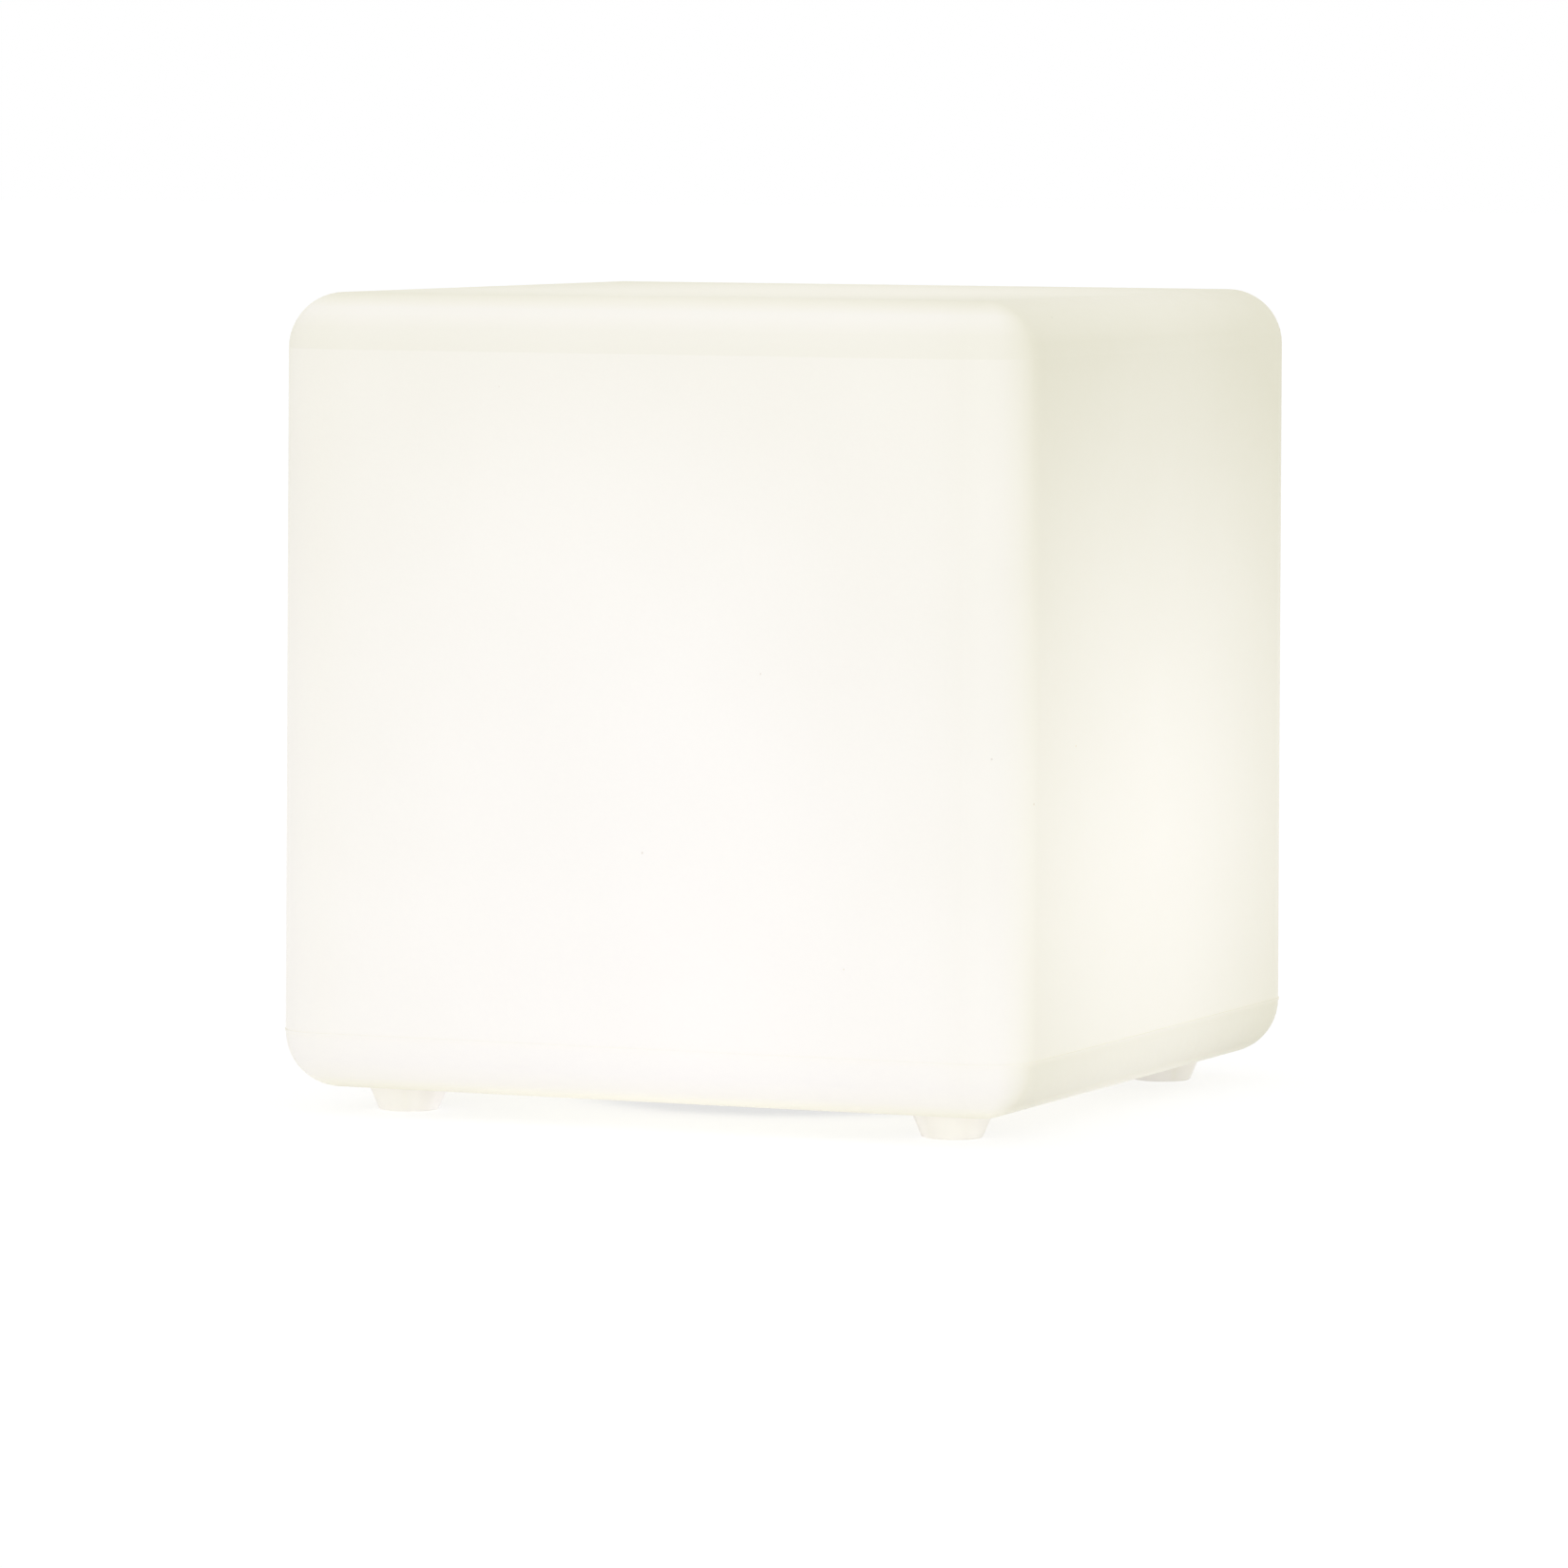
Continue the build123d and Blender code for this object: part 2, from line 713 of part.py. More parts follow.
with BuildPart() as charge_coil:
    with BuildSketch(Plane.XY.offset(board_top)):
        with Locations((board_end_x - capacitor_inset_x, 0)):
            RectangleRounded(coil_width, coil_width, coil_corner_radius)
    extrude(amount=coil_height)
charge_coil.part.label = "charge_coil"
export_step(charge_coil.part, "parts/charge_coil.step")

# Sockets for the lamp leads, the jack leads and the two battery leads.
with BuildPart() as board_connectors:
    with BuildSketch(Plane.XY.offset(board_top)):
        with Locations((led_lead_x, board_width / 2 - connector_depth / 2)):
            Rectangle(led_lead_count * led_lead_pitch + 2 * connector_end, connector_depth)
        with Locations(
            (board_end_x - connector_depth / 2, 0),
            (board_end_x - connector_depth / 2, battery_lead_y),
        ):
            Rectangle(connector_depth, 2 * jack_lead_pitch)
        with Locations((minus_connector_x, -battery_lead_y)):
            Rectangle(connector_depth, 2 * jack_lead_pitch)
    extrude(amount=connector_height)
board_connectors.part.label = "board_connectors"
export_step(board_connectors.part, "parts/board_connectors.step")

# ------------------------------------------------------------------ indicator
with BuildPart() as charge_lamp:
    with BuildSketch(Plane.XY.offset(board_bottom)):
        Circle(lamp_radius)
    extrude(amount=-lamp_height)
    fillet(circles_at(charge_lamp, lamp_bottom), radius=0.6 * lamp_radius)
charge_lamp.part.label = "charge_lamp"
export_step(charge_lamp.part, "parts/charge_lamp.step")

with BuildPart() as light_pipe:
    with BuildSketch(Plane.XY.offset(base_bottom)):
        Circle(lamp_radius)
    extrude(amount=lamp_bottom - pipe_gap - base_bottom)
    with BuildSketch(Plane.XY.offset(base_bottom)):
        Circle(pipe_head_radius)
    extrude(amount=-pipe_head_height)
    fillet(circles_at(light_pipe, base_bottom - pipe_head_height), radius=0.5 * pipe_head_height)
light_pipe.part.label = "light_pipe"
export_step(light_pipe.part, "parts/light_pipe.step")

# ------------------------------------------------------------------ battery
with BuildPart() as battery_tray:
    with BuildSketch(Plane.XY.offset(tray_bottom)):
        RectangleRounded(2 * tray_outer_x, 2 * tray_half_width, 2)
        RectangleRounded(clamp_width, 2 * ear_end_y, 2)
        with clamp_screw_places:
            Circle(small_screw_radius + fit_clearance, mode=Mode.SUBTRACT)
        # Each battery lead drops through its own hole.
        with Locations((battery_lead_x, battery_lead_y), (-battery_lead_x, -battery_lead_y)):
            Circle(battery_lead_radius + 4 * fit_clearance, mode=Mode.SUBTRACT)
    extrude(amount=tray_floor)
    # End walls.
    with BuildSketch(Plane.XY.offset(tray_top)):
        with GridLocations(tray_inner_x + tray_outer_x, 0, 2, 1):
            Rectangle(tray_wall, 2 * cell_y + cell_radius)
    extrude(amount=tray_end_height)
    # Cradle ribs, cut out to the cells' round sides.
    with BuildSketch(Plane.YZ.offset(-tray_rib_span / 2)) as cradle:
        with Locations((0, tray_top + tray_rib_height / 2)):
            Rectangle(2 * tray_half_width, tray_rib_height)
        with Locations((-cell_y, cell_axis), (cell_y, cell_axis)):
            Circle(cell_radius + cell_clearance, mode=Mode.SUBTRACT)
    extrude(amount=tray_rib_width)
    with BuildSketch(Plane.YZ.offset(tray_rib_span / 2 - tray_rib_width)):
        add(cradle.sketch_local)
    extrude(amount=tray_rib_width)
battery_tray.part.label = "battery_tray"
export_step(battery_tray.part, "parts/battery_tray.step")

with BuildPart() as battery_cells:
    with BuildSketch(Plane.YZ.offset(-cell_length / 2)):
        with Locations((-cell_y, cell_axis), (cell_y, cell_axis)):
            Circle(cell_radius)
    extrude(amount=cell_length)
battery_cells.part.label = "battery_cells"
export_step(battery_cells.part, "parts/battery_cells.step")

with BuildPart() as cell_strips:
    with BuildSketch(Plane.YZ.offset(cell_length / 2)):
        with Locations((0, cell_axis)):
            SlotOverall(2 * cell_y + strip_width, strip_width)
    extrude(amount=strip_thickness)
    mirror(about=Plane.YZ)
cell_strips.part.label = "cell_strips"
export_step(cell_strips.part, "parts/cell_strips.step")

# Bridge over both cells, screwed down through the tray's ears.
with BuildPart() as battery_clamp:
    bridge_top = cell_axis + cell_radius + cell_clearance
    with BuildSketch(Plane.YZ.offset(-clamp_width / 2)):
        with Locations((0, tray_top + clamp_wall / 2)):
            Rectangle(2 * ear_end_y, clamp_wall)
        with Locations((0, (tray_top + bridge_top + clamp_wall) / 2)):
            Rectangle(2 * (clamp_inner_y + clamp_wall), bridge_top + clamp_wall - tray_top)
        with Locations((0, (tray_top + bridge_top) / 2)):
            Rectangle(2 * clamp_inner_y, bridge_top - tray_top, mode=Mode.SUBTRACT)
    extrude(amount=clamp_width)
    with BuildSketch(Plane.XY.offset(tray_top)):
        with clamp_screw_places:
            Circle(small_screw_radius + fit_clearance)
    extrude(amount=clamp_wall, mode=Mode.SUBTRACT)
battery_clamp.part.label = "battery_clamp"
export_step(battery_clamp.part, "parts/battery_clamp.step")

clamp_screws = screws(
    clamp_screw_places,
    tray_top + clamp_wall,
    -1,
    small_screw_radius,
    clamp_screw_length,
    small_screw_head_radius,
    small_screw_head_height,
)
clamp_screws.label = "clamp_screws"
export_step(clamp_screws, "parts/clamp_screws.step")

# ------------------------------------------------------------------ lamp board
with BuildPart() as led_board:
    with BuildSketch(Plane.XY.offset(led_board_bottom)):
        Circle(cup_inner_radius - board_clearance)
        with cover_screw_places:
            Circle(cover_boss_radius + board_clearance, mode=Mode.SUBTRACT)
        with led_screw_places:
            Circle(small_screw_radius + fit_clearance, mode=Mode.SUBTRACT)
    extrude(amount=led_board_thickness)
led_board.part.label = "led_board"
export_step(led_board.part, "parts/led_board.step")

with BuildPart() as led_chips:
    with BuildSketch(Plane.XY.offset(led_board_top)):
        with inner_ring_places:
            Rectangle(led_size, led_size)
        with outer_ring_places:
            Rectangle(led_size, led_size)
    extrude(amount=led_height)
led_chips.part.label = "led_chips"
export_step(led_chips.part, "parts/led_chips.step")

led_board_screws = screws(
    led_screw_places,
    led_board_top,
    -1,
    small_screw_radius,
    led_screw_length,
    small_screw_head_radius,
    small_screw_head_height,
)
led_board_screws.label = "led_board_screws"
export_step(led_board_screws, "parts/led_board_screws.step")

# Remote-control eye: a flat package with a rounded lens.
with BuildPart() as ir_receiver:
    with BuildSketch(Plane.XY.offset(led_board_top)):
        Rectangle(receiver_depth, receiver_width)
    extrude(amount=receiver_height)
    with BuildSketch(Plane.XY.offset(led_board_top)):
        with Locations((receiver_depth / 2, 0)):
            Circle(receiver_width / 3)
    extrude(amount=receiver_height - 1)
ir_receiver.part.label = "ir_receiver"
export_step(ir_receiver.part, "parts/ir_receiver.step")

with BuildPart() as led_connector:
    with BuildSketch(Plane.XY.offset(led_board_bottom)):
        with Locations((led_lead_x, led_lead_y)):
            Rectangle(led_lead_count * led_lead_pitch + 2 * connector_end, connector_depth)
    extrude(amount=-connector_height)
led_connector.part.label = "led_connector"
export_step(led_connector.part, "parts/led_connector.step")

# ------------------------------------------------------------------ dome
with BuildPart() as cover_gasket:
    with BuildSketch(Plane.XY.offset(cup_top)):
        Circle(cup_radius)
        Circle(cup_inner_radius, mode=Mode.SUBTRACT)
        with cover_screw_places:
            Circle(cover_boss_radius)
            with Locations(((boss_web_end - cover_screw_circle) / 2, 0)):
                Rectangle(boss_web_end - cover_screw_circle, 2 * cover_boss_radius)
        with cover_screw_places:
            Circle(small_screw_radius + fit_clearance, mode=Mode.SUBTRACT)
    extrude(amount=cover_gasket_thickness)
cover_gasket.part.label = "cover_gasket"
export_step(cover_gasket.part, "parts/cover_gasket.step")

with BuildPart() as light_cover:
    # Half section: flange, short straight skirt, then a spherical crown.
    crown_rise = dome_height - dome_skirt
    crown_radius = (dome_radius**2 + crown_rise**2) / (2 * crown_rise)
    crown_centre = dome_top - crown_radius
    skirt_top = cover_flange_top + dome_skirt
    inner_radius = dome_radius - cover_wall
    inner_crown = crown_radius - cover_wall
    inner_skirt_top = crown_centre + (inner_crown**2 - inner_radius**2) ** 0.5
    with BuildSketch(Plane.XZ):
        with BuildLine():
            outline = Polyline(
                (inner_radius, inner_skirt_top),
                (inner_radius, cover_bottom),
                (cup_radius, cover_bottom),
                (cup_radius, cover_flange_top),
                (dome_radius, cover_flange_top),
                (dome_radius, skirt_top),
            )
            RadiusArc(outline @ 1, (0, dome_top), -crown_radius)
            Line((0, dome_top), (0, dome_top - cover_wall))
            RadiusArc((0, dome_top - cover_wall), outline @ 0, inner_crown)
        make_face()
    revolve(axis=Axis.Z)
    with BuildSketch(Plane.XY.offset(cover_bottom)):
        with cover_screw_places:
            Circle(small_screw_radius + fit_clearance)
    extrude(amount=cover_flange_thickness, mode=Mode.SUBTRACT)
light_cover.part.label = "light_cover"
export_step(light_cover.part, "parts/light_cover.step")

cover_screws = screws(
    cover_screw_places,
    cover_flange_top,
    -1,
    small_screw_radius,
    cover_screw_length,
    small_screw_head_radius,
    small_screw_head_height,
)
cover_screws.label = "cover_screws"
export_step(cover_screws, "parts/cover_screws.step")

# ------------------------------------------------------------------ leads
# Down beside the cells, through the tray and across to the board.
battery_leads = lead_group(
    [
        [
            (battery_lead_x, battery_lead_y, cell_axis),
            (battery_lead_x, battery_lead_y, lead_entry),
            (board_end_x, battery_lead_y, lead_entry),
        ],
        [
            (-battery_lead_x, -battery_lead_y, cell_axis),
            (-battery_lead_x, -battery_lead_y, lead_entry),
            (minus_connector_x - connector_depth / 2, -battery_lead_y, lead_entry),
        ],
    ],
    battery_lead_radius,
)
battery_leads.label = "battery_leads"
export_step(battery_leads, "parts/battery_leads.step")

# From the socket's lugs to the board, drawn together on the way.
jack_lead_routes = []
for side in (-1, 1):
    jack_lead_routes.append(
        [
            (jack_x - lug_thickness / 2, side * lug_spacing / 2, lead_entry),
            (board_end_x + 9, side * lug_spacing / 2, lead_entry),
            (board_end_x + 4, side * jack_lead_pitch / 2, lead_entry),
            (board_end_x, side * jack_lead_pitch / 2, lead_entry),
        ]
    )
jack_leads = lead_group(jack_lead_routes, jack_lead_radius)
jack_leads.label = "jack_leads"
export_step(jack_leads, "parts/jack_leads.step")

# Out from the board, then up the cup's wall to the lamp board.
led_lead_routes = []
for number in range(led_lead_count):
    lead_x = led_lead_x + (number - (led_lead_count - 1) / 2) * led_lead_pitch
    led_lead_routes.append(
        [
            (lead_x, board_width / 2, lead_entry),
            (lead_x, led_lead_y, lead_entry),
            (lead_x, led_lead_y, led_board_bottom - connector_height),
        ]
    )
led_leads = lead_group(led_lead_routes, led_lead_radius)
led_leads.label = "led_leads"
export_step(led_leads, "parts/led_leads.step")
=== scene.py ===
"""Looks of the LED cube light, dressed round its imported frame. Metres, Z up, the feet stand on z = 0."""

import json
import math

import bpy
import numpy as np
from mathutils import Matrix, Vector


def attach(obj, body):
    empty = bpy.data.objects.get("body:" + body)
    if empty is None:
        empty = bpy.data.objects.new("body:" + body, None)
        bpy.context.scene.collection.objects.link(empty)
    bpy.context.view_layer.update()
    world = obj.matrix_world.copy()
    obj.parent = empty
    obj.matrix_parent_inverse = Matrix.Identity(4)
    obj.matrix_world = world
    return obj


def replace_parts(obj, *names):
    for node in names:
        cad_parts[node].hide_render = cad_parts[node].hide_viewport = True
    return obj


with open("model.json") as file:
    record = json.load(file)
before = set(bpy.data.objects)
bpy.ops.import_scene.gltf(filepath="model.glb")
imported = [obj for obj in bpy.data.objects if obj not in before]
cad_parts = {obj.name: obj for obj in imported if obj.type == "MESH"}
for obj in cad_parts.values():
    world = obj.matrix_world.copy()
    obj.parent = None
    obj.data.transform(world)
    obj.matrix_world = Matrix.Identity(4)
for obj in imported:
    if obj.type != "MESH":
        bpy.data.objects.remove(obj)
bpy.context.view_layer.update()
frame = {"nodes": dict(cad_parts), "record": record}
nodes = frame["nodes"]

# ------------------------------------------------------------------ view and light
CAMERA_PLACE = (1.3208, -3.1601, 0.3744)
CAMERA_HEADING = 22.741
CAMERA_PITCH = -4.269
CAMERA_ROLL = 0.286
CAMERA_LENS = 206.51
SENSOR_WIDTH = 36.0
FLOOR_COLOUR, FLOOR_SHADED = (0.93, 0.93, 0.93), (0.37, 0.37, 0.37)
FLOOR_LIGHT = 0.70
FLOOR_REACH, FLOOR_LEVEL = 30.0, -0.0002
WORLD_LIGHT = 0.86
KEY_PLACE, KEY_AIM = (1.2, -3.4, 0.3), (0, 0, 0.15)
KEY_SIZE, KEY_POWER, KEY_COLOUR = 2.0, 19.0, (0.86, 0.92, 1.0)

# ------------------------------------------------------------------ the light inside, and the painted light and shade in it
GLOW_CENTRE = (0.0, 0.0, 0.093)
HALF_WIDTH = 0.15
FOOT_HEIGHT = 0.0095
MOULD_LINE = (0.0295, 0.0315)
DIMMEST, BRIGHTEST = 0.13, 1.3

# The strength of the light where 1/e of what the nearest point gets arrives, and where all of it does. The
# front glow stays brighter than the side glow where little light arrives: painted daylight on the face it
# falls on.
SIDE_GLOW_PAINTED_SHADE, FRONT_GLOW_PAINTED_LIGHT = (0.102, 0.261), (0.208, 0.270)

# A rise is painted light added to that strength, and a loss or fall is painted shade taken off it. A facing
# is a pair of values that a part of the outward direction has where the change sets in and where it is
# full. The other pairs are places.
PAINTED_DAYLIT_FACING, UPRIGHT_FACING = (0.2, 0.8), (1.0, 0.75)
LOWER_PART, FRONT_PAINTED_LIGHT_RISE, SIDE_PAINTED_SHADE_FALL = (0.02, 0.10), 0.035, 0.02
NEAR_FRONT, NEAR_FRONT_PAINTED_LIGHT = (-0.02, -HALF_WIDTH), 0.035
FRONT_EDGE, FRONT_EDGE_PAINTED_SHADE = (0.115, 0.14), 0.025
CROWN_FACING, CROWN_PAINTED_SHADE = (0.01, 0.25), 0.04
BROW_FACING, BROW_END_FACING, BROW_PAINTED_SHADE = (0.01, 0.08), (0.65, 0.4), 0.045
BAND_PAINTED_SHADE = 0.06
# Underneath, the lamp's own glow has painted light from the floor added to it.
UNDERSIDE_FACING, UNDERSIDE_GLOW_AND_PAINTED_BOUNCE = (-0.75, -1.0), 0.16
FOOT_TOP, FOOT_GLOW = (FOOT_HEIGHT - 0.0001, FOOT_HEIGHT - 0.0006), 0.03
# Painted light on the feet, which makes up for the shade under the cube and away from the daylight; the
# back feet get a share of the part facing the shade.
INWARD_FACING, FOOT_INWARD_PAINTED_LIGHT = (0.45, -0.3), 0.24
SIDEWAYS_FACING, FOOT_SIDEWAYS_PAINTED_LIGHT = (0.65, 0.9), 0.15
BACK_FEET, BACK_FOOT_SHARE = (-0.05, 0.05), 0.25

# ------------------------------------------------------------------ colours of the shell, its light and the painted light on it
# The low tint, the colour of the glow and its painted light near the feet, fades out over its reach above
# the feet.
PAINTED_LOW_TINT_REACH = 0.012
# The glow's tint on the sides, and a bluer painted-daylight tint on the faces that daylight falls on.
SIDE_TINT = (0.80, 0.78, 1.0)
FRONT_PAINTED_DAYLIGHT_TINT = (0.62, 0.60, 1.0)
PAINTED_LOW_TINT = (0.82, 0.80, 1.0)
UNDERSIDE_PAINTED_BOUNCE_TINT = (0.95, 0.93, 0.89)
SPECK_SPACING, SPECK_RADIUS = 0.028, 0.0006
SPECK_COLOUR = (0.70, 0.68, 0.52)
SKIN_LIGHT = (0.905, 0.88, 0.725)
SKIN_DARK = (0.885, 0.86, 0.70)

# ------------------------------------------------------------------ pieces made here
SCREW_CIRCLE, SCREW_COUNT = 0.067, 6
SCREW_SEAT, SCREW_FACE, SCREW_TIP = 0.0145, 0.0119, 0.0245
SCREW_HEAD_RADIUS, SCREW_SHANK_RADIUS = 0.004, 0.002
SCREW_THREAD_PITCH, SCREW_THREAD_DEPTH = 0.001, 0.00018
CROSS_REACH, CROSS_WIDTH, CROSS_DEPTH = 0.0023, 0.0010, 0.0016
CROSS_SLOPE, CROSS_WALL = 0.0006, 0.00018
FIRST_HEAD_TURN, HEAD_TURN_SHARE = 0.35, 1.9
BUTTON_X, BUTTON_FACE, BUTTON_TOP = -0.020, 0.0115, 0.0185
BUTTON_RADIUS, BUTTON_FLANGE, BUTTON_SHOULDER = 0.007, 0.009, 0.0173
BUTTON_DISH = 0.0007
FLAP_FACE, FLAP_X = 0.0110, 0.022
FLAP_RING_RADIUS, FLAP_RING_WIDTH = 0.0052, 0.0008
FLAP_RING_RISE, FLAP_RING_FOOT, FLAP_RING_SEAT = 0.0003, 0.0001, 0.0006
GRIP_PLACES = (0.0107, 0.0122, 0.0137)
GRIP_LENGTH, GRIP_WIDTH, GRIP_HEIGHT = 0.0034, 0.0007, 0.0004


class Finish:
    """A material and the nodes that go into it, joined left to right."""

    def __init__(self, name):
        self.material = bpy.data.materials.new(name)
        self.material.use_nodes = True
        self.tree = self.material.node_tree
        self.shader = self.tree.nodes["Principled BSDF"]

    def node(self, kind, inputs=None, **settings):
        """A new node with its settings, and its inputs set to values or joined to sockets."""
        made = self.tree.nodes.new(kind)
        for key, value in settings.items():
            setattr(made, key, value)
        for key, value in (inputs or {}).items():
            self.put(made.inputs[key], value)
        return made

    def put(self, socket, value):
        if isinstance(value, bpy.types.NodeSocket):
            self.tree.links.new(value, socket)
        else:
            socket.default_value = value

    def set(self, **values):
        """Puts values or sockets into the shader, by its socket names with spaces as underscores."""
        for key, value in values.items():
            self.put(self.shader.inputs[key.replace("_", " ")], value)

    def place(self):
        return self.node("ShaderNodeTexCoord").outputs["Object"]

    def noise(self, scale, detail=3.0, roughness=0.5):
        made = self.node(
            "ShaderNodeTexNoise",
            {"Vector": self.place(), "Scale": scale, "Detail": detail, "Roughness": roughness},
        )
        return made.outputs["Fac"]

    def mixed(self, factor, first, second):
        """Colour between two colours."""
        made = self.node("ShaderNodeMix", data_type="RGBA")
        self.put(made.inputs[0], factor)
        self.put(made.inputs[6], first)
        self.put(made.inputs[7], second)
        return made.outputs[2]

    def ranged(self, value, low, high, to_low=0.0, to_high=1.0, clamp=True):
        made = self.node(
            "ShaderNodeMapRange",
            {"Value": value, "From Min": low, "From Max": high, "To Min": to_low, "To Max": to_high},
            clamp=clamp,
        )
        return made.outputs["Result"]

    def maths(self, operation, first, second=0.0):
        made = self.node("ShaderNodeMath", operation=operation)
        self.put(made.inputs[0], first)
        self.put(made.inputs[1], second)
        return made.outputs[0]

    def vector(self, operation, first, second=(0.0, 0.0, 0.0)):
        made = self.node("ShaderNodeVectorMath", {0: first, 1: second}, operation=operation)
        return made.outputs["Vector"]

    def dot(self, first, second):
        made = self.node("ShaderNodeVectorMath", {0: first, 1: second}, operation="DOT_PRODUCT")
        return made.outputs["Value"]

    def parts(self, vector):
        return self.node("ShaderNodeSeparateXYZ", {"Vector": vector}).outputs

    def levelled(self, vector):
        """The direction of the level part of a vector."""
        return self.vector("NORMALIZE", self.vector("MULTIPLY", vector, (1.0, 1.0, 0.0)))

    def total(self, *shares):
        """Sum of values, each times its share."""
        made = 0.0
        for share, value in shares:
            adding = self.node("ShaderNodeMath", {0: value, 1: share, 2: made}, operation="MULTIPLY_ADD")
            made = adding.outputs[0]
        return made

    def bumped(self, height, strength, distance):
        made = self.node("ShaderNodeBump", {"Height": height, "Strength": strength, "Distance": distance})
        return made.outputs["Normal"]


def opaque(colour):
    return (*colour, 1.0)


def arriving_light(f, place, outward):
    """Logarithm of the light that comes to the skin from a small source low in the middle.

    The light is the cosine of the angle it arrives at, over its distance squared, as a share of what
    the nearest point of a side gets. It is held between the dimmest and the brightest share.
    """
    arm = f.vector("SUBTRACT", place, GLOW_CENTRE)
    distance = f.node("ShaderNodeVectorMath", {0: arm}, operation="LENGTH").outputs["Value"]
    near = f.maths("POWER", f.maths("DIVIDE", distance, HALF_WIDTH), 3.0)
    arriving = f.maths("DIVIDE", f.maths("DIVIDE", f.dot(arm, outward), HALF_WIDTH), near)
    held = f.maths("MINIMUM", f.maths("MAXIMUM", arriving, DIMMEST), BRIGHTEST)
    return f.maths("LOGARITHM", held, math.e)


def painted_foot_light(f, place, outward):
    """What a solid foot adds to the glow: an even share, and painted light on the side that faces the shade
    under the cube and on the side that little daylight comes to, which makes up for that shade. It stops
    where the foot ends."""
    at = f.parts(place)
    inward = f.ranged(f.dot(f.levelled(place), outward), *INWARD_FACING)
    inward = f.maths("MULTIPLY", inward, f.ranged(at["Y"], *BACK_FEET, 1.0, BACK_FOOT_SHARE))
    sideways = f.ranged(f.parts(outward)["X"], *SIDEWAYS_FACING)
    light = f.total((FOOT_GLOW, 1.0), (FOOT_INWARD_PAINTED_LIGHT, inward), (FOOT_SIDEWAYS_PAINTED_LIGHT, sideways))
    return f.maths("MULTIPLY", light, f.ranged(at["Z"], *FOOT_TOP))


def shell_light(f):
    """Colour and strength of the light that comes through the skin.

    The glow grows with the logarithm of the light that arrives inside, as a bright lamp looks on film.
    The face that daylight falls on shows less of the difference, from its lower edge up to the crown, as
    painted daylight; on every face painted light and shade are added and taken off by place and facing.
    Painted light thrown back from the floor is added to the underside's glow, and painted light that makes
    up for the shade under the cube to the feet, each in its own tint.
    """
    coordinates = f.node("ShaderNodeTexCoord").outputs
    place, outward = coordinates["Object"], coordinates["Normal"]
    seen = arriving_light(f, place, outward)
    at, facing = f.parts(place), f.parts(outward)
    upright = f.ranged(f.maths("ABSOLUTE", facing["Z"]), *UPRIGHT_FACING)
    to_day = f.dot(f.levelled(outward), (0.0, -1.0, 0.0))
    # Painted light: the faces turned to the daylight get their own glow and tint.
    painted_daylit = f.maths("MULTIPLY", f.ranged(to_day, *PAINTED_DAYLIT_FACING), upright)
    lower = f.ranged(at["Z"], *LOWER_PART, 1.0, 0.0)
    # On the side faces: painted shade below the mould line, towards the bottom and on the crown's rounding,
    # and painted light near the front edge.
    side = f.total(
        (1.0, f.ranged(seen, -1.0, 0.0, *SIDE_GLOW_PAINTED_SHADE, clamp=False)),
        (-1.0, f.ranged(at["Z"], *MOULD_LINE, BAND_PAINTED_SHADE, 0.0)),
        (-SIDE_PAINTED_SHADE_FALL, lower),
        (-CROWN_PAINTED_SHADE, f.ranged(facing["Z"], *CROWN_FACING)),
        (NEAR_FRONT_PAINTED_LIGHT, f.ranged(at["Y"], *NEAR_FRONT)),
    )
    # On the front face: painted light towards the bottom, and painted shade just under the crown and
    # towards its left and right edges.
    brow_end = f.ranged(facing["Z"], *BROW_END_FACING)
    painted_brow_shade = f.maths("MULTIPLY", f.ranged(facing["Z"], *BROW_FACING), brow_end)
    front = f.total(
        (1.0, f.ranged(seen, -1.0, 0.0, *FRONT_GLOW_PAINTED_LIGHT, clamp=False)),
        (FRONT_PAINTED_LIGHT_RISE, lower),
        (-BROW_PAINTED_SHADE, painted_brow_shade),
        (-FRONT_EDGE_PAINTED_SHADE, f.ranged(f.maths("ABSOLUTE", at["X"]), *FRONT_EDGE)),
    )
    # Faces turned to the daylight take the front glow, with painted daylight in it; the others take the
    # side glow, with painted shade in it.
    glow = f.node("ShaderNodeMix", data_type="FLOAT")
    for socket, value in ((0, painted_daylit), (2, side), (3, front)):
        f.put(glow.inputs[socket], value)
    # Underneath: the glow, and painted light thrown back from the floor.
    underneath = f.ranged(facing["Z"], *UNDERSIDE_FACING)
    strength = f.total(
        (1.0, f.maths("MAXIMUM", glow.outputs[0], 0.0)),
        (UNDERSIDE_GLOW_AND_PAINTED_BOUNCE, underneath),
        (1.0, painted_foot_light(f, place, outward)),
    )
    # Near the feet, the glow and its painted light take the low tint.
    low = f.ranged(at["Z"], FOOT_HEIGHT, FOOT_HEIGHT + PAINTED_LOW_TINT_REACH, 1.0, 0.0)
    # Painted light: the glow's tint changes with the faces turned to the daylight, near the feet and
    # underneath.
    tint = f.mixed(painted_daylit, opaque(SIDE_TINT), opaque(FRONT_PAINTED_DAYLIGHT_TINT))
    tint = f.mixed(low, tint, opaque(PAINTED_LOW_TINT))
    return f.mixed(underneath, tint, opaque(UNDERSIDE_PAINTED_BOUNCE_TINT)), strength


